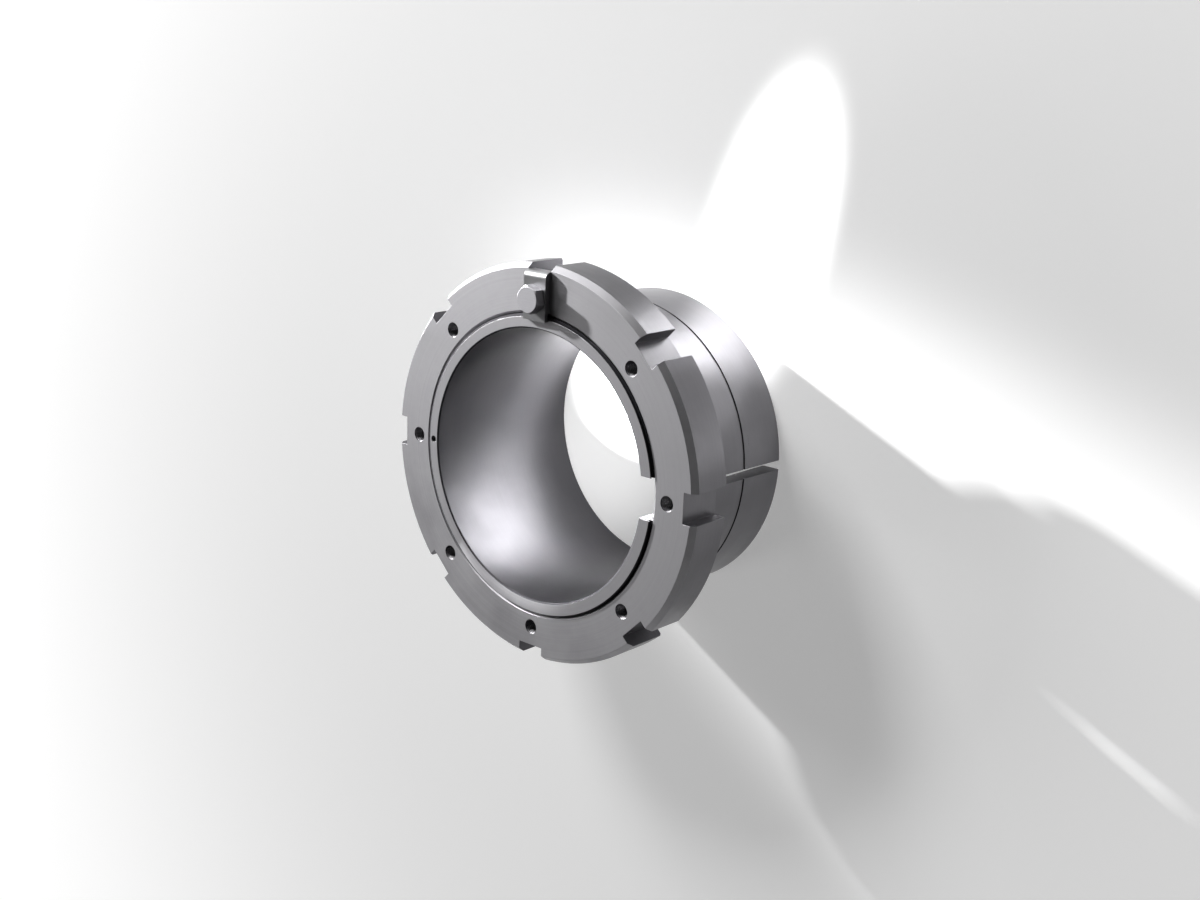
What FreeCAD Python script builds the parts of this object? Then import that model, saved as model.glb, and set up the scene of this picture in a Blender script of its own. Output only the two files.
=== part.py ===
"""Adapter sleeve with its lock nut, locking clip and clip bolt, in millimetres.

The sleeve clamps a bearing with a tapered bore on a plain shaft. Its outside is a 1:12 taper,
its bore is cylindrical, and a slit lets it close on the shaft as the nut draws it in.
The origin is the centre of the sleeve's large end face, and +Z points to the nut.
The slit and the wide notch lie at +X, the clip and its bolt at +Y, the oil duct at -X.
"""
import FreeCAD, Part
import math
import os

# Sleeve
SHAFT_BORE_D = 200.0
THREAD_WALL = 10.0
SEAT_STEP = 0.9
TAPER_RATIO = 12.0
SEAT_LENGTH = 89.0
UNDERCUT_WIDTH = 4.5
UNDERCUT_DEPTH = 2.0
THREAD_LENGTH = 47.5
BORE_CHAMFER = 1.0
REAR_CHAMFER = 1.0
THREAD_END_CHAMFER = 0.8
SEAT_LEAD_CHAMFER = 0.8
SLIT_WIDTH = 7.0
NOTCH_WIDTH = 30.0
NOTCH_DEPTH = 20.0
NOTCH_CORNER_R = 4.0

# Oil supply for dismounting
OIL_DUCT_D = 5.0
OIL_DUCT_INSET = 4.5
OIL_GROOVE_HEIGHT = 41.5
OIL_GROOVE_WIDTH = 2.0
OIL_GROOVE_DEPTH = 0.8
OIL_CROSS_HOLE_D = 3.0

# Lock nut
NUT_WIDTH = 35.0
NUT_RING = 36.0
SLEEVE_STAND_OUT = 1.5
NUT_FACE_CHAMFER_RADIAL = 3.6
NUT_FACE_CHAMFER_AXIAL = 4.3
NUT_BACK_CHAMFER = 1.5
NUT_THREAD_CHAMFER = 2.2
SLOT_COUNT = 8
SLOT_WIDTH = 22.0
SLOT_DEPTH = 10.0

# Tapped holes for the clip bolt, one inside each slot
TAPPED_HOLE_D = 11.0
TAPPED_HOLE_DEPTH = 24.0
TAPPED_HOLE_INSET = 14.0
DRILL_POINT_ANGLE = 118.0

# Locking clip
CLIP_THICKNESS = 5.0
CLIP_LEG = 6.0
CLIP_BEND_R = 4.5
CLIP_TONGUE_REACH = 3.5
CLIP_HOLE_D = 13.5

# Clip bolt
BOLT_HEAD_FLATS = 18.0
BOLT_HEAD_HEIGHT = 7.5
BOLT_LENGTH = 25.0
BOLT_TIP_CHAMFER = 1.2
BOLT_TURN_DEG = 13.0
BOLT_CHAMFER_ANGLE = 30.0

# Fits and clearances
THREAD_RUNNING_CLEARANCE = 0.06
CLIP_SIDE_CLEARANCE = 0.6
CLIP_FLOOR_CLEARANCE = 0.3
CLIP_OVER_SLEEVE_CLEARANCE = 0.3
BOLT_THREAD_CLEARANCE = 0.05

# Extra length of a cutting tool past the surface that it cuts
CUT_PAST = 2.0

# Places that follow from the sizes
bore_r = SHAFT_BORE_D / 2
thread_r = bore_r + THREAD_WALL
seat_small_r = thread_r + SEAT_STEP
seat_large_r = seat_small_r + SEAT_LENGTH / (2 * TAPER_RATIO)
thread_start_z = SEAT_LENGTH + UNDERCUT_WIDTH
sleeve_length = thread_start_z + THREAD_LENGTH
nut_face_z = sleeve_length - SLEEVE_STAND_OUT
nut_back_z = nut_face_z - NUT_WIDTH
nut_bore_r = thread_r + THREAD_RUNNING_CLEARANCE
nut_r = thread_r + NUT_RING
slot_floor_r = nut_r - SLOT_DEPTH
tapped_circle_r = slot_floor_r - TAPPED_HOLE_INSET
clip_angle = 90.0


def point(x, y, z):
    return FreeCAD.Vector(x, y, z)


def turned(radius_height_pairs):
    """A solid of revolution about Z from its half section, given as radius and height."""
    points = [point(radius, 0, height) for radius, height in radius_height_pairs]
    section = Part.Face(Part.makePolygon(points + points[:1]))
    return section.revolve(point(0, 0, 0), point(0, 0, 1), 360)


def block(x_low, x_high, y_low, y_high, z_low, z_high):
    corner = point(x_low, y_low, z_low)
    return Part.makeBox(x_high - x_low, y_high - y_low, z_high - z_low, corner)


def turned_about_z(shape, angle_deg):
    copy = shape.copy()
    copy.rotate(point(0, 0, 0), point(0, 0, 1), angle_deg)
    return copy


def seat_radius(height):
    """Radius of the 1:12 taper at a height above the large end."""
    return seat_large_r - height / (2 * TAPER_RATIO)


def sleeve_blank():
    """The turned sleeve before it is slit: bore, taper, undercut and threaded end."""
    undercut_r = thread_r - UNDERCUT_DEPTH
    return turned([
        (bore_r + BORE_CHAMFER, 0),
        (seat_large_r - REAR_CHAMFER, 0),
        (seat_radius(REAR_CHAMFER), REAR_CHAMFER),
        (seat_radius(SEAT_LENGTH - SEAT_LEAD_CHAMFER), SEAT_LENGTH - SEAT_LEAD_CHAMFER),
        (seat_small_r - SEAT_LEAD_CHAMFER, SEAT_LENGTH),
        (undercut_r, SEAT_LENGTH),
        (undercut_r, thread_start_z - UNDERCUT_DEPTH),
        (thread_r, thread_start_z),
        (thread_r, sleeve_length - THREAD_END_CHAMFER),
        (thread_r - THREAD_END_CHAMFER, sleeve_length),
        (bore_r + BORE_CHAMFER, sleeve_length),
        (bore_r, sleeve_length - BORE_CHAMFER),
        (bore_r, BORE_CHAMFER),
    ])


def notch_cut():
    """The milled notch for a clip's tongue: a slot open at the threaded end, corners rounded."""
    half = NOTCH_WIDTH / 2
    floor_z = sleeve_length - NOTCH_DEPTH
    top_z = sleeve_length + CUT_PAST
    diagonal = NOTCH_CORNER_R * math.sin(math.radians(45))
    left_middle = point(0, -half + NOTCH_CORNER_R - diagonal, floor_z + NOTCH_CORNER_R - diagonal)
    right_middle = point(0, half - NOTCH_CORNER_R + diagonal, floor_z + NOTCH_CORNER_R - diagonal)
    left_high = point(0, -half, floor_z + NOTCH_CORNER_R)
    left_low = point(0, -half + NOTCH_CORNER_R, floor_z)
    right_low = point(0, half - NOTCH_CORNER_R, floor_z)
    right_high = point(0, half, floor_z + NOTCH_CORNER_R)
    left_top = point(0, -half, top_z)
    right_top = point(0, half, top_z)
    outline = Part.Wire([
        Part.makeLine(left_top, left_high),
        Part.Arc(left_high, left_middle, left_low).toShape(),
        Part.makeLine(left_low, right_low),
        Part.Arc(right_low, right_middle, right_high).toShape(),
        Part.makeLine(right_high, right_top),
        Part.makeLine(right_top, left_top),
    ])
    return Part.Face(outline).extrude(point(seat_large_r + CUT_PAST, 0, 0))


def slit_cut():
    """The slit right through one side of the wall, from end to end."""
    half = SLIT_WIDTH / 2
    return block(0, seat_large_r + CUT_PAST, -half, half, -CUT_PAST, sleeve_length + CUT_PAST)


def oil_groove_cut():
    """The fine ring groove that spreads oil under the bearing."""
    low_z = OIL_GROOVE_HEIGHT - OIL_GROOVE_WIDTH / 2
    high_z = OIL_GROOVE_HEIGHT + OIL_GROOVE_WIDTH / 2
    floor_r = seat_radius(OIL_GROOVE_HEIGHT) - OIL_GROOVE_DEPTH
    flare = OIL_GROOVE_DEPTH / 4
    outside_r = seat_large_r + CUT_PAST
    return turned([
        (floor_r, low_z + flare),
        (seat_radius(low_z), low_z),
        (outside_r, low_z),
        (outside_r, high_z),
        (seat_radius(high_z), high_z),
        (floor_r, high_z - flare),
    ])


def oil_duct_cut():
    """The axial duct from the threaded end, and the cross hole from it to the ring groove."""
    duct_x = -(bore_r + OIL_DUCT_INSET)
    duct_end_z = OIL_GROOVE_HEIGHT - OIL_DUCT_D / 2
    duct_length = sleeve_length + CUT_PAST - duct_end_z
    duct = Part.makeCylinder(OIL_DUCT_D / 2, duct_length, point(duct_x, 0, duct_end_z))
    cross_length = seat_large_r + CUT_PAST + duct_x
    cross = Part.makeCylinder(OIL_CROSS_HOLE_D / 2, cross_length,
                              point(duct_x, 0, OIL_GROOVE_HEIGHT), point(-1, 0, 0))
    return [duct, cross]


def make_sleeve():
    cuts = [notch_cut(), slit_cut(), oil_groove_cut()] + oil_duct_cut()
    return sleeve_blank().cut(cuts)


def nut_blank():
    """The turned nut, with the thread drawn as a plain bore that runs on the sleeve's crests."""
    return turned([
        (nut_bore_r + NUT_THREAD_CHAMFER, nut_back_z),
        (nut_r - NUT_BACK_CHAMFER, nut_back_z),
        (nut_r, nut_back_z + NUT_BACK_CHAMFER),
        (nut_r, nut_face_z - NUT_FACE_CHAMFER_AXIAL),
        (nut_r - NUT_FACE_CHAMFER_RADIAL, nut_face_z),
        (nut_bore_r + NUT_THREAD_CHAMFER, nut_face_z),
        (nut_bore_r, nut_face_z - NUT_THREAD_CHAMFER),
        (nut_bore_r, nut_back_z + NUT_THREAD_CHAMFER),
    ])


def spanner_slot_cut():
    """One spanner slot at +X, with a flat floor, through the whole width of the nut."""
    half = SLOT_WIDTH / 2
    return block(slot_floor_r, nut_r + CUT_PAST, -half, half,
                 nut_back_z - CUT_PAST, nut_face_z + CUT_PAST)


def tapped_hole_cut():
    """One blind tapped hole at +X, drawn at the thread's mean diameter, with its drill point."""
    radius = TAPPED_HOLE_D / 2
    floor_z = nut_face_z - TAPPED_HOLE_DEPTH
    point_depth = radius / math.tan(math.radians(DRILL_POINT_ANGLE / 2))
    hole = turned([
        (0, floor_z - point_depth),
        (radius, floor_z),
        (radius, nut_face_z + CUT_PAST),
        (0, nut_face_z + CUT_PAST),
    ])
    hole.translate(point(tapped_circle_r, 0, 0))
    return hole


def make_lock_nut():
    step = 360.0 / SLOT_COUNT
    cuts = []
    for index in range(SLOT_COUNT):
        cuts.append(turned_about_z(spanner_slot_cut(), index * step))
        cuts.append(turned_about_z(tapped_hole_cut(), index * step))
    return nut_blank().cut(cuts)


def make_locking_clip():
    """The clip lies on the nut, hooks down into a slot and laps over the end of the sleeve.

    It is drawn at +X and then turned to its place. Its tongue is thinned underneath, so that it
    passes clear over the sleeve's end face, which stands out from the nut.
    """
    tongue_end = thread_r - CLIP_TONGUE_REACH
    tongue_root = nut_bore_r + NUT_THREAD_CHAMFER
    tongue_z = sleeve_length + CLIP_OVER_SLEEVE_CLEARANCE
    leg_inside = slot_floor_r + CLIP_FLOOR_CLEARANCE
    leg_outside = leg_inside + CLIP_THICKNESS
    leg_z = nut_face_z - CLIP_LEG
    top_z = nut_face_z + CLIP_THICKNESS
    half_width = SLOT_WIDTH / 2 - CLIP_SIDE_CLEARANCE

    def corner(x, z):
        return point(x, -half_width, z)

    bend_centre_x = leg_outside - CLIP_BEND_R
    bend_centre_z = top_z - CLIP_BEND_R
    diagonal = CLIP_BEND_R * math.sin(math.radians(45))
    bend = Part.Arc(
        corner(leg_outside, bend_centre_z),
        corner(bend_centre_x + diagonal, bend_centre_z + diagonal),
        corner(bend_centre_x, top_z),
    ).toShape()
    before_bend = Part.makePolygon([
        corner(tongue_end, top_z),
        corner(tongue_end, tongue_z),
        corner(tongue_root, tongue_z),
        corner(tongue_root, nut_face_z),
        corner(leg_inside, nut_face_z),
        corner(leg_inside, leg_z),
        corner(leg_outside, leg_z),
        corner(leg_outside, bend_centre_z),
    ])
    after_bend = Part.makeLine(corner(bend_centre_x, top_z), corner(tongue_end, top_z))
    outline = Part.Wire(before_bend.Edges + [bend, after_bend])
    strap = Part.Face(outline).extrude(point(0, 2 * half_width, 0))
    bolt_hole = Part.makeCylinder(CLIP_HOLE_D / 2, CLIP_THICKNESS + 2 * CUT_PAST,
                                  point(tapped_circle_r, 0, nut_face_z - CUT_PAST))
    return turned_about_z(strap.cut(bolt_hole), clip_angle)


def make_clip_bolt():
    """A hexagon bolt, its thread drawn as a plain shank that runs in the tapped hole."""
    seat_z = nut_face_z + CLIP_THICKNESS
    top_z = seat_z + BOLT_HEAD_HEIGHT
    corner_r = BOLT_HEAD_FLATS / 2 / math.cos(math.radians(30))
    corners = []
    for index in range(7):
        angle = math.radians(BOLT_TURN_DEG + 30 + 60 * index)
        corners.append(point(corner_r * math.cos(angle), corner_r * math.sin(angle), seat_z))
    hexagon = Part.Face(Part.makePolygon(corners)).extrude(point(0, 0, BOLT_HEAD_HEIGHT))
    face_r = BOLT_HEAD_FLATS / 2
    chamfer_drop = (corner_r - face_r) * math.tan(math.radians(BOLT_CHAMFER_ANGLE))
    rounding = turned([
        (0, seat_z),
        (corner_r, seat_z),
        (corner_r, top_z - chamfer_drop),
        (face_r, top_z),
        (0, top_z),
    ])
    shank_r = TAPPED_HOLE_D / 2 - BOLT_THREAD_CLEARANCE
    tip_z = seat_z - BOLT_LENGTH
    shank = turned([
        (0, tip_z),
        (shank_r - BOLT_TIP_CHAMFER, tip_z),
        (shank_r, tip_z + BOLT_TIP_CHAMFER),
        (shank_r, seat_z),
        (0, seat_z),
    ])
    bolt = hexagon.common(rounding).fuse(shank)
    bolt.translate(point(tapped_circle_r * math.cos(math.radians(clip_angle)),
                         tapped_circle_r * math.sin(math.radians(clip_angle)), 0))
    return bolt


def save(name, shape):
    """Write one sub-part, after checking that it is one sound solid."""
    tidy = shape.removeSplitter()
    if len(tidy.Solids) != 1 or not tidy.isValid():
        raise RuntimeError(name + " is not one sound solid")
    tidy.Solids[0].exportStep("parts/" + name + ".step")
    box = tidy.BoundBox
    print("%s: %.0f mm3, Z %.2f to %.2f" % (name, tidy.Volume, box.ZMin, box.ZMax))


os.makedirs("parts", exist_ok=True)
save("sleeve", make_sleeve())
save("lock_nut", make_lock_nut())
save("locking_clip", make_locking_clip())
save("clip_bolt", make_clip_bolt())
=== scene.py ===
import math

import bmesh
import bpy
from mathutils import Matrix, Vector


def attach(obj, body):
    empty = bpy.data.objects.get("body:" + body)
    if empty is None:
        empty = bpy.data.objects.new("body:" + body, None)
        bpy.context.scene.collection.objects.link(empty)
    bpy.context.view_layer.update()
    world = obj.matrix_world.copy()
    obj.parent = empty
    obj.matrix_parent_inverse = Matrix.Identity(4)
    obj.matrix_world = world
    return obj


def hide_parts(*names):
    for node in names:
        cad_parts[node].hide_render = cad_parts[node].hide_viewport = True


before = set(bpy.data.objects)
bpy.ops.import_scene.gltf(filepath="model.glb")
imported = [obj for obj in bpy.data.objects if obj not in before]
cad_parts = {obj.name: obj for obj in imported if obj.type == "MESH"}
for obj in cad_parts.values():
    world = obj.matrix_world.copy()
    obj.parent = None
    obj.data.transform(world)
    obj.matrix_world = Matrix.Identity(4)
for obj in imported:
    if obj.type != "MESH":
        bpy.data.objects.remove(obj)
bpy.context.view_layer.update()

# The adapter sleeve stands on its large end, nut up. Lengths are in metres, or in millimetres times MM.
# A name that ends in _MM or _mm holds millimetres, as the materials and the lamps' aims use them.
MM = 0.001

# Sleeve and nut, as the part's own drawing has them
THREAD_R = 110.0 * MM
UNDERCUT_START_Z = 89.0 * MM
SLEEVE_LENGTH = 141.0 * MM
NUT_FACE_Z = 139.5 * MM

# Trapezoidal thread of the sleeve, 220 mm with 4 mm pitch
THREAD_PITCH = 4.0 * MM
THREAD_DEPTH = 1.9 * MM
THREAD_FLANK_DEG = 15.0
THREAD_STEPS_PER_TURN = 96
GROOVE_AT_CREST = 2.5 * MM
GROOVE_ABOVE_UNDERCUT = 0.3 * MM
CUTTER_PAST_CREST = 2.5 * MM

# Points nearer to each other than this are one, in the drawn solid and after the cut
SAME_POINT_DRAWN = 0.0005 * MM
SAME_POINT_CUT = 0.001 * MM

# M12 thread in the holes of the nut's face. A ridge's half widths are shares of the pitch.
TAPPED_CIRCLE_R = 122.0 * MM
TAPPED_WALL_R = 5.5 * MM
TAPPED_PITCH = 1.75 * MM
TAPPED_DEPTH = 22.0 * MM
TAPPED_PLAIN_MOUTH = 1.2 * MM
TAPPED_STEPS_PER_TURN = 20
RIDGE_HEIGHT = 0.42 * MM
RIDGE_IN_WALL = 0.1 * MM
RIDGE_FOOT = 0.44
RIDGE_TOP = 0.08
FREE_HOLES_DEG = (0, 45, 135, 180, 225, 270, 315)

# Faces that meet at less than this look like one smooth surface
SMOOTH_DEG = 30.0

# Marks on the steel. Grain and rings are drawn coarser than real ones, or they wouldn't show. A noise's
# scale is 1 over the width of its marks in millimetres.
RING_NOISE = {"Detail": 3.0, "Roughness": 0.6}
CUTTER_NOISE = {"Detail": 2.0, "Roughness": 0.55}
CUTTER_TO_RING_WIDTH = 2.2
FILM_NOISE = {"Scale": 1 / 45.0, "Detail": 3.0, "Roughness": 0.55}
GRAIN_NOISE = {"Scale": 1 / 1.1, "Detail": 2.0, "Roughness": 0.7}

# How much rings and grain add to the film's tone, and the tones at which dark and light are full
RING_TONE = 0.30
GRAIN_TONE = 0.12
DARK_TONE = 0.45
LIGHT_TONE = 0.95
ROUGHNESS_SWING = 0.05
EDGE_SAMPLES = 4

# What tells the surfaces apart: how far a face looks outward or upward, 1 at most, and its radius.
# WALL_BELOW is set against both squared and added, which is nearly 0 on a slot's wall. The bore lies
# within the first radius, the thread within the second, and the taper beyond both.
ROUND_OUTWARD = 0.8
SLOPE_UPWARD = 0.75
SLOPE_SPREAD = 0.23
WALL_BELOW = 0.5
BORE_WITHIN_MM = 100.4
THREAD_WITHIN_MM = 110.4

# Painted shade: surfaces given a darker colour, each with its own change of roughness, as (share of
# their own colour, change of roughness)
SLOT_WALL_SHADE = (0.92, 0.0)
ROUND_SIDE_SHADE = (0.68, -0.15)
BORE_SHADE = (0.85, -0.14)
EDGE_AND_FLANK_SHADE = (0.9, 0.42)
CREST_AND_ROOT_SHADE = (0.85, 0.30)

# Photograph's view
CAMERA_AIM = Vector((45.9, 18.7, 122.0)) * MM
CAMERA_DISTANCE = 1135.3 * MM
CAMERA_AZIMUTH_DEG = 112.2
CAMERA_ELEVATION_DEG = 46.73
CAMERA_ROLL_DEG = -104.45
CAMERA_LENS = 48.515
CAMERA_SENSOR = 36.0

# Floor, as (radius, height) in metres from the middle to the top of its wall. Its glow for the rays
# that see it rises from near the object to further out: the dimmer glow near the object is painted
# shade round it.
FLOOR_SWEEP = ((3.0, 0.0), (3.4, 0.06), (3.7, 0.22), (3.9, 0.50), (4.0, 1.0))
FLOOR_SIDES = 64
FLOOR_ROUGHNESS = 0.9
GLOW_NEAR_R = 0.35
GLOW_FAR_R = 1.40
GLOW_NEAR = 0.33
GLOW_FAR = 0.60

# Lamps, as name, kind, direction from the aim to the lamp, distance in metres, aim in millimetres,
# power in watts, size in metres, and for a spot its beam in degrees
LAMPS = (
    ("low_key", "SPOT", (-0.864, 0.415, 0.288), 1.6, (-40, 60, 139), 460.0, 0.03, 14.0),
    ("upper_box", "AREA", (-0.80, 0.30, 0.52), 3.0, (0, 0, 130), 20.0, 0.8),
    ("lower_box", "AREA", (-0.80, -0.45, 0.40), 3.0, (0, 0, 130), 13.0, 0.8),
    ("floor_box", "AREA", (-0.35, 0.75, 0.56), 3.0, (0, 0, 0), 54.0, 0.8),
    ("floor_spot", "SPOT", (0.24, 0.87, 0.42), 1.0, (91, 168, 0), 720.0, 0.02, 5.7),
    ("bore_spot", "SPOT", (0.10, -0.50, 0.86), 1.2, (-25, 44, 0), 1250.0, 0.02, 6.2),
    ("bore_floor_spot", "SPOT", (0.35, 0.15, 0.93), 1.2, (-60, -20, 0), 40.0, 0.03, 9.0),
)
ROOM_LIGHT = 0.03


# Meshes

def mesh_piece(name, bm, material):
    """An object from a finished bmesh, smooth where its faces meet at a small angle."""
    mesh = bpy.data.meshes.new(name)
    bm.to_mesh(mesh)
    bm.free()
    mesh.shade_smooth()
    mesh.set_sharp_from_angle(angle=math.radians(SMOOTH_DEG))
    mesh.materials.append(material)
    piece = bpy.data.objects.new(name, mesh)
    bpy.context.scene.collection.objects.link(piece)
    return piece


def helix(bm, section, pitch, turns, start_z, steps_per_turn, centre=(0.0, 0.0)):
    """Sweeps a closed section of (radius, height) pairs along a right-hand helix, with flat ends."""
    rings = []
    for step in range(int(turns * steps_per_turn) + 1):
        turn = step / steps_per_turn
        angle = 2 * math.pi * turn
        rise = start_z + pitch * turn
        rings.append([
            bm.verts.new((
                centre[0] + radius * math.cos(angle),
                centre[1] + radius * math.sin(angle),
                rise + height,
            ))
            for radius, height in section
        ])
    count = len(section)
    for low, high in zip(rings, rings[1:]):
        for i in range(count):
            j = (i + 1) % count
            bm.faces.new((low[i], low[j], high[j], high[i]))
    bm.faces.new(rings[0][::-1])
    bm.faces.new(rings[-1])
    bmesh.ops.recalc_face_normals(bm, faces=bm.faces)


def threaded_sleeve(material):
    """The sleeve with its real thread: the drawn solid, with a helical groove cut round its end."""
    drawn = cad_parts["sleeve"].data
    bare = bpy.data.meshes.new("sleeve_blank")
    bare.from_pydata([v.co for v in drawn.vertices], [], [list(p.vertices) for p in drawn.polygons])
    bm = bmesh.new()
    bm.from_mesh(bare)
    bmesh.ops.remove_doubles(bm, verts=bm.verts, dist=SAME_POINT_DRAWN)
    sleeve = mesh_piece("sleeve_blank", bm, material)

    spread = math.tan(math.radians(THREAD_FLANK_DEG))
    root = GROOVE_AT_CREST / 2 - THREAD_DEPTH * spread
    mouth = GROOVE_AT_CREST / 2 + CUTTER_PAST_CREST * spread
    section = [
        (THREAD_R - THREAD_DEPTH, -root),
        (THREAD_R + CUTTER_PAST_CREST, -mouth),
        (THREAD_R + CUTTER_PAST_CREST, mouth),
        (THREAD_R - THREAD_DEPTH, root),
    ]
    start_z = UNDERCUT_START_Z + mouth + GROOVE_ABOVE_UNDERCUT
    turns = (SLEEVE_LENGTH + THREAD_PITCH - start_z) / THREAD_PITCH
    bm = bmesh.new()
    helix(bm, section, THREAD_PITCH, turns, start_z, THREAD_STEPS_PER_TURN)
    cutter = mesh_piece("thread_cutter", bm, material)

    cut = sleeve.modifiers.new("thread", "BOOLEAN")
    cut.operation = "DIFFERENCE"
    cut.solver = "EXACT"
    cut.object = cutter
    bpy.context.view_layer.update()
    evaluated = sleeve.evaluated_get(bpy.context.evaluated_depsgraph_get())
    bm = bmesh.new()
    bm.from_mesh(bpy.data.meshes.new_from_object(evaluated))
    bmesh.ops.remove_doubles(bm, verts=bm.verts, dist=SAME_POINT_CUT)
    bpy.data.objects.remove(cutter)
    bpy.data.objects.remove(sleeve)
    return mesh_piece("sleeve_with_thread", bm, material)


def tapped_threads(material):
    """The ridges of the M12 thread in each free hole of the nut."""
    bm = bmesh.new()
    foot_r = TAPPED_WALL_R + RIDGE_IN_WALL
    top_r = TAPPED_WALL_R - RIDGE_HEIGHT
    section = [
        (foot_r, -TAPPED_PITCH * RIDGE_FOOT),
        (top_r, -TAPPED_PITCH * RIDGE_TOP),
        (top_r, TAPPED_PITCH * RIDGE_TOP),
        (foot_r, TAPPED_PITCH * RIDGE_FOOT),
    ]
    start_z = NUT_FACE_Z - TAPPED_DEPTH
    turns = (TAPPED_DEPTH - TAPPED_PLAIN_MOUTH) / TAPPED_PITCH
    for angle_deg in FREE_HOLES_DEG:
        angle = math.radians(angle_deg)
        centre = (TAPPED_CIRCLE_R * math.cos(angle), TAPPED_CIRCLE_R * math.sin(angle))
        one_hole = bmesh.new()
        helix(one_hole, section, TAPPED_PITCH, turns, start_z, TAPPED_STEPS_PER_TURN, centre)
        scratch = bpy.data.meshes.new("one_hole")
        one_hole.to_mesh(scratch)
        one_hole.free()
        bm.from_mesh(scratch)
        bpy.data.meshes.remove(scratch)
    return mesh_piece("tapped_hole_threads", bm, material)


# Materials

def linear(hex_colour):
    """An sRGB hex colour as linear red, green, blue and alpha."""
    channels = [int(hex_colour[i:i + 2], 16) / 255 for i in (1, 3, 5)]
    return [c / 12.92 if c <= 0.04045 else ((c + 0.055) / 1.055) ** 2.4 for c in channels] + [1.0]


def add(tree, kind, settings=(), values=(), links=()):
    """One node: its own settings, its sockets' values, and what feeds its sockets."""
    made = tree.nodes.new(kind)
    for name, value in dict(settings).items():
        setattr(made, name, value)
    for socket, value in dict(values).items():
        made.inputs[socket].default_value = value
    for socket, source in dict(links).items():
        tree.links.new(source, made.inputs[socket])
    return made


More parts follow.
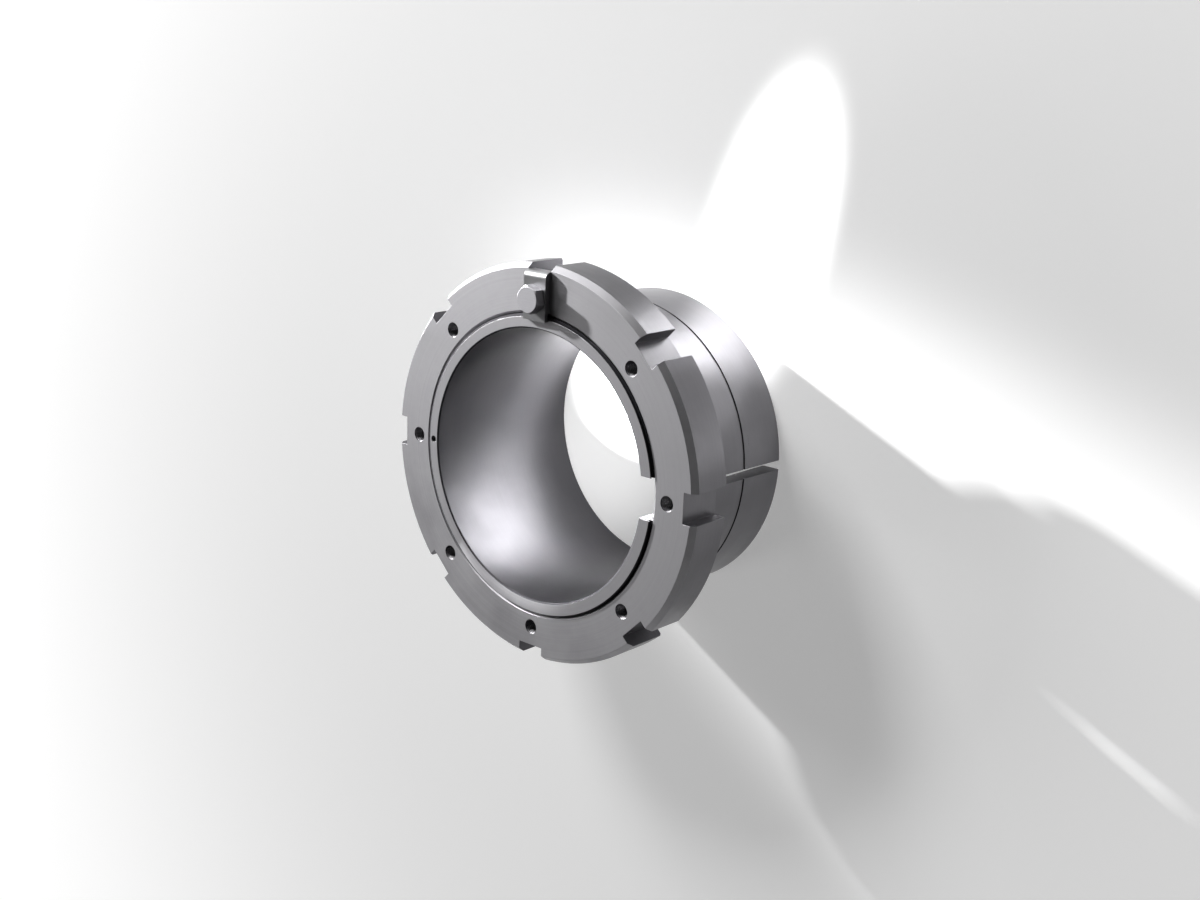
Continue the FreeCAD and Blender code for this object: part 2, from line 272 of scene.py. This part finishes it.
def turned_steel(name, dark, light, roughness, mark_mm, mark_depth_mm, edge_mm, side_shade=None, bore_and_edge_shade=None):
    """Bare machined steel. Rings from the turning tool follow the radius on flat faces and the height
    on round ones. Where a colour for the sides is given, it is painted as shade beside the flat faces:
    on walls that look along the rim, with the straight marks of a cutter, and on the smoother round
    surfaces. Where a second, darker colour is given as well, it is painted as shade on the bore, which
    is smoother, and on the thread and the edges that look upward, which are rougher.
    """
    material = bpy.data.materials.new(name)
    material.use_nodes = True
    tree = material.node_tree
    shader = tree.nodes["Principled BSDF"]
    shader.inputs["Metallic"].default_value = 1.0

    # Place on the piece, in millimetres: radius plus height runs across the rings everywhere.
    place = add(tree, "ShaderNodeTexCoord").outputs["Object"]
    in_mm = add(tree, "ShaderNodeVectorMath", {"operation": "SCALE"},
                {"Scale": 1 / MM}, {0: place}).outputs[0]
    axes = add(tree, "ShaderNodeSeparateXYZ", links={0: in_mm})
    flat = add(tree, "ShaderNodeCombineXYZ",
               links={"X": axes.outputs["X"], "Y": axes.outputs["Y"]}).outputs[0]
    radius = add(tree, "ShaderNodeVectorMath", {"operation": "LENGTH"}, links={0: flat}).outputs["Value"]
    across = add(tree, "ShaderNodeMath", {"operation": "ADD"},
                 links={0: radius, 1: axes.outputs["Z"]}).outputs[0]
    round_way = add(tree, "ShaderNodeVectorMath", {"operation": "NORMALIZE"}, links={0: flat}).outputs[0]
    way = add(tree, "ShaderNodeSeparateXYZ", links={0: round_way})

    # Rings: noise stretched round the axis, so that each ring fades in and out along its length.
    ring_place = add(tree, "ShaderNodeCombineXYZ",
                     links={"X": across, "Y": way.outputs["X"], "Z": way.outputs["Y"]}).outputs[0]
    height = add(tree, "ShaderNodeTexNoise", {"noise_dimensions": "3D"},
                 {"Scale": 1 / mark_mm, **RING_NOISE}, {"Vector": ring_place}).outputs["Fac"]

    # Painted shade: where a surface takes a darker colour and a change of roughness, as
    # (mask, colour, its share, change of roughness)
    zones = []
    if side_shade:
        normal = add(tree, "ShaderNodeVectorTransform",
                     {"vector_type": "NORMAL", "convert_from": "WORLD", "convert_to": "OBJECT"},
                     links={0: add(tree, "ShaderNodeNewGeometry").outputs["True Normal"]}).outputs[0]
        outward = add(tree, "ShaderNodeVectorMath", {"operation": "DOT_PRODUCT"},
                      links={0: normal, 1: round_way}).outputs["Value"]
        upward = add(tree, "ShaderNodeSeparateXYZ", links={0: normal}).outputs["Z"]
        is_round = add(tree, "ShaderNodeMath", {"operation": "GREATER_THAN"},
                       {1: ROUND_OUTWARD}, {0: outward}).outputs[0]
        # A slot's wall looks along the rim: neither outward nor upward.
        out2 = add(tree, "ShaderNodeMath", {"operation": "MULTIPLY"},
                   links={0: outward, 1: outward}).outputs[0]
        up2 = add(tree, "ShaderNodeMath", {"operation": "MULTIPLY_ADD"},
                  links={0: upward, 1: upward, 2: out2}).outputs[0]
        is_wall = add(tree, "ShaderNodeMath", {"operation": "LESS_THAN"},
                      {1: WALL_BELOW}, {0: up2}).outputs[0]
        passes = add(tree, "ShaderNodeTexNoise", {"noise_dimensions": "1D"},
                     {"Scale": 1 / (CUTTER_TO_RING_WIDTH * mark_mm), **CUTTER_NOISE},
                     {"W": axes.outputs["Z"]}).outputs["Fac"]
        height = add(tree, "ShaderNodeMix", {"data_type": "FLOAT"},
                     links={"Factor": is_wall, "A": height, "B": passes}).outputs["Result"]
        # Painted shade: slot walls and round surfaces take the darker colour given for the sides.
        zones.append((is_wall, side_shade, *SLOT_WALL_SHADE))
        zones.append((is_round, side_shade, *ROUND_SIDE_SHADE))
    if side_shade and bore_and_edge_shade:
        in_bore = add(tree, "ShaderNodeMath", {"operation": "LESS_THAN"},
                      {1: BORE_WITHIN_MM}, {0: radius}).outputs[0]
        is_slope = add(tree, "ShaderNodeMath", {"operation": "COMPARE"},
                       {1: SLOPE_UPWARD, 2: SLOPE_SPREAD}, {0: upward}).outputs[0]
        in_thread = add(tree, "ShaderNodeMath", {"operation": "LESS_THAN"},
                        {1: THREAD_WITHIN_MM}, {0: radius}).outputs[0]
        is_thread = add(tree, "ShaderNodeMath", {"operation": "MULTIPLY"},
                        links={0: in_thread, 1: is_round}).outputs[0]
        # Painted shade: the bore, the upward edges and the thread take the darkest colour.
        zones.append((in_bore, bore_and_edge_shade, *BORE_SHADE))
        zones.append((is_slope, bore_and_edge_shade, *EDGE_AND_FLANK_SHADE))
        zones.append((is_thread, bore_and_edge_shade, *CREST_AND_ROOT_SHADE))

    # Slow change of tone over some centimetres, from handling and a thin film of oil.
    film = add(tree, "ShaderNodeTexNoise", {"noise_dimensions": "3D"},
               FILM_NOISE, {"Vector": in_mm}).outputs["Fac"]
    grain = add(tree, "ShaderNodeTexNoise", {"noise_dimensions": "3D"},
                GRAIN_NOISE, {"Vector": in_mm}).outputs["Fac"]
    tone = add(tree, "ShaderNodeMath", {"operation": "MULTIPLY_ADD"},
               {1: RING_TONE}, {0: height, 2: film}).outputs[0]
    tone = add(tree, "ShaderNodeMath", {"operation": "MULTIPLY_ADD"},
               {1: GRAIN_TONE}, {0: grain, 2: tone}).outputs[0]
    share = add(tree, "ShaderNodeMapRange",
                values={"From Min": DARK_TONE, "From Max": LIGHT_TONE}, links={"Value": tone}).outputs[0]
    colour = add(tree, "ShaderNodeMix", {"data_type": "RGBA"}, {6: linear(dark), 7: linear(light)},
                 {"Factor": share}).outputs[2]
    rough = add(tree, "ShaderNodeMapRange",
                values={"To Min": roughness + ROUGHNESS_SWING, "To Max": roughness - ROUGHNESS_SWING},
                links={"Value": share}).outputs[0]

    for mask, zone_colour, amount, change in zones:
        rough = add(tree, "ShaderNodeMath", {"operation": "MULTIPLY_ADD"},
                    {1: change}, {0: mask, 2: rough}).outputs[0]
        part = add(tree, "ShaderNodeMath", {"operation": "MULTIPLY"}, {1: amount}, {0: mask}).outputs[0]
        colour = add(tree, "ShaderNodeMix", {"data_type": "RGBA"}, {7: linear(zone_colour)},
                     {"Factor": part, 6: colour}).outputs[2]
    tree.links.new(colour, shader.inputs["Base Color"])
    tree.links.new(rough, shader.inputs["Roughness"])

    # Edges as if slightly rounded, and the marks standing in relief.
    rounded = add(tree, "ShaderNodeBevel", {"samples": EDGE_SAMPLES}, {"Radius": edge_mm * MM}).outputs[0]
    bump = add(tree, "ShaderNodeBump", values={"Strength": 1.0, "Distance": mark_depth_mm * MM},
               links={"Height": height, "Normal": rounded}).outputs[0]
    tree.links.new(bump, shader.inputs["Normal"])
    return material


# Fine-turned and ground carbon steel, bare with a film of oil: a satin grey whose close rings draw
# the light out round the axis. The ground taper is painted darker than the end face as shade, and
# mirrors in a band. The honed bore, the thread and the upward edges are painted darkest as shade,
# so the light that the bore mirrors stands out.
turned_sleeve_steel = turned_steel(
    "fine_turned_sleeve_steel", dark="#8e8d90", light="#a4a3a6", roughness=0.47,
    mark_mm=1.3, mark_depth_mm=0.008, edge_mm=0.3, side_shade="#706f73", bore_and_edge_shade="#454448")
# Turned and milled carbon steel, bare: flatter and duller than the sleeve, with coarser rings on the
# face, a rim painted darker as shade, and straight cutter marks in the slots, whose walls are painted
# darker still as shade.
milled_nut_steel = turned_steel(
    "turned_and_milled_nut_steel", dark="#8e8d90", light="#a5a4a7", roughness=0.50,
    mark_mm=1.5, mark_depth_mm=0.009, edge_mm=0.35, side_shade="#5e5d61")
# Cold-rolled strip, bent: nearly smooth, so the bend over the nut's rim catches a sharp bright line.
strip_clip_steel = turned_steel(
    "rolled_strip_clip_steel", dark="#9a9a9c", light="#adadaf", roughness=0.33,
    mark_mm=1.2, mark_depth_mm=0.003, edge_mm=0.40)
# Cold-headed bolt, bare: an even grey with hardly a mark, a little brighter than the nut's face.
headed_bolt_steel = turned_steel(
    "cold_headed_bolt_steel", dark="#97969a", light="#b3b2b5", roughness=0.46,
    mark_mm=0.9, mark_depth_mm=0.004, edge_mm=0.3)

for node_name, steel in (
    ("lock_nut", milled_nut_steel),
    ("locking_clip", strip_clip_steel),
    ("clip_bolt", headed_bolt_steel),
):
    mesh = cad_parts[node_name].data
    mesh.materials.clear()
    mesh.materials.append(steel)

# Pieces that stand for CAD nodes or ride on them
sleeve = threaded_sleeve(turned_sleeve_steel)
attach(sleeve, "sleeve")
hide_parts("sleeve")

threads = tapped_threads(milled_nut_steel)
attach(threads, "nut")


# Floor

def floor_material():
    """Matt white studio floor: even and without gloss, so the eye takes it for empty ground. It keeps
    the object's shadow, and every ray that sees it, or mirrors it, finds it white further out. Nearer
    the object its glow is dimmer, as painted shade round it.
    """
    material = bpy.data.materials.new("matt_white_studio_floor")
    material.use_nodes = True
    tree = material.node_tree
    shader = tree.nodes["Principled BSDF"]
    shader.inputs["Base Color"].default_value = linear("#dedede")
    shader.inputs["Roughness"].default_value = FLOOR_ROUGHNESS
    shader.inputs["Specular IOR Level"].default_value = 0.0
    ray = add(tree, "ShaderNodeLightPath")
    seen = add(tree, "ShaderNodeMath", {"operation": "MAXIMUM"},
               links={0: ray.outputs["Is Camera Ray"], 1: ray.outputs["Is Glossy Ray"]}).outputs[0]
    seen = add(tree, "ShaderNodeMath", {"operation": "MAXIMUM"},
               links={0: seen, 1: ray.outputs["Is Transmission Ray"]}).outputs[0]
    from_axis = add(tree, "ShaderNodeVectorMath", {"operation": "LENGTH"},
                    links={0: add(tree, "ShaderNodeTexCoord").outputs["Object"]}).outputs["Value"]
    # Painted shade: the glow is dimmer near the object and rises further out.
    glow = add(tree, "ShaderNodeMapRange", {"interpolation_type": "SMOOTHSTEP"},
               {"From Min": GLOW_NEAR_R, "From Max": GLOW_FAR_R, "To Min": GLOW_NEAR, "To Max": GLOW_FAR},
               {"Value": from_axis}).outputs[0]
    strength = add(tree, "ShaderNodeMath", {"operation": "MULTIPLY"}, links={0: seen, 1: glow}).outputs[0]
    shader.inputs["Emission Color"].default_value = linear("#ffffff")
    tree.links.new(strength, shader.inputs["Emission Strength"])
    return material


def studio_floor(material):
    """A round floor that curves up into a low wall, the background of views from 6 degrees up."""
    bm = bmesh.new()
    middle = bm.verts.new((0.0, 0.0, 0.0))
    inner = None
    for radius, height in FLOOR_SWEEP:
        ring = []
        for i in range(FLOOR_SIDES):
            angle = 2 * math.pi * i / FLOOR_SIDES
            ring.append(bm.verts.new((radius * math.cos(angle), radius * math.sin(angle), height)))
        for i in range(FLOOR_SIDES):
            j = (i + 1) % FLOOR_SIDES
            if inner:
                bm.faces.new((inner[i], ring[i], ring[j], inner[j]))
            else:
                bm.faces.new((middle, ring[i], ring[j]))
        inner = ring
    return mesh_piece("floor", bm, material)


floor = studio_floor(floor_material())


# Light

def lamp(name, kind, direction, distance, aim_mm, power, size, beam_deg=0.0):
    """A lamp that looks at the aim from a direction: a square soft box, or a spot with a soft edge."""
    data = bpy.data.lights.new(name, kind)
    data.energy = power
    if kind == "AREA":
        data.shape = "SQUARE"
        data.size = size
    else:
        data.shadow_soft_size = size
        data.spot_size = math.radians(beam_deg)
        data.spot_blend = 1.0
    light = bpy.data.objects.new(name, data)
    light.location = Vector(aim_mm) * MM + Vector(direction).normalized() * distance
    light.rotation_euler = Vector(direction).to_track_quat("Z", "Y").to_euler()
    bpy.context.scene.collection.objects.link(light)


for row in LAMPS:
    lamp(*row)

world = bpy.data.worlds.new("studio")
world.use_nodes = True
background = world.node_tree.nodes["Background"]
background.inputs["Color"].default_value = linear("#ffffff")
background.inputs["Strength"].default_value = ROOM_LIGHT
bpy.context.scene.world = world


# Camera

def photo_camera():
    """The photograph's camera. It looks down at the nut's face from the side and is rolled, so that
    the standing object has the photograph's view.
    """
    azimuth = math.radians(CAMERA_AZIMUTH_DEG)
    elevation = math.radians(CAMERA_ELEVATION_DEG)
    back = Vector((
        math.sin(azimuth) * math.cos(elevation),
        -math.cos(azimuth) * math.cos(elevation),
        math.sin(elevation),
    ))
    data = bpy.data.cameras.new("photo_camera")
    data.lens = CAMERA_LENS
    data.sensor_width = CAMERA_SENSOR
    camera = bpy.data.objects.new("photo_camera", data)
    level = back.to_track_quat("Z", "Y").to_matrix().to_4x4()
    roll = Matrix.Rotation(math.radians(CAMERA_ROLL_DEG), 4, "Z")
    camera.matrix_world = Matrix.Translation(CAMERA_AIM + back * CAMERA_DISTANCE) @ level @ roll
    bpy.context.scene.collection.objects.link(camera)
    bpy.context.scene.camera = camera


photo_camera()
bpy.context.scene.view_settings.view_transform = "Standard"
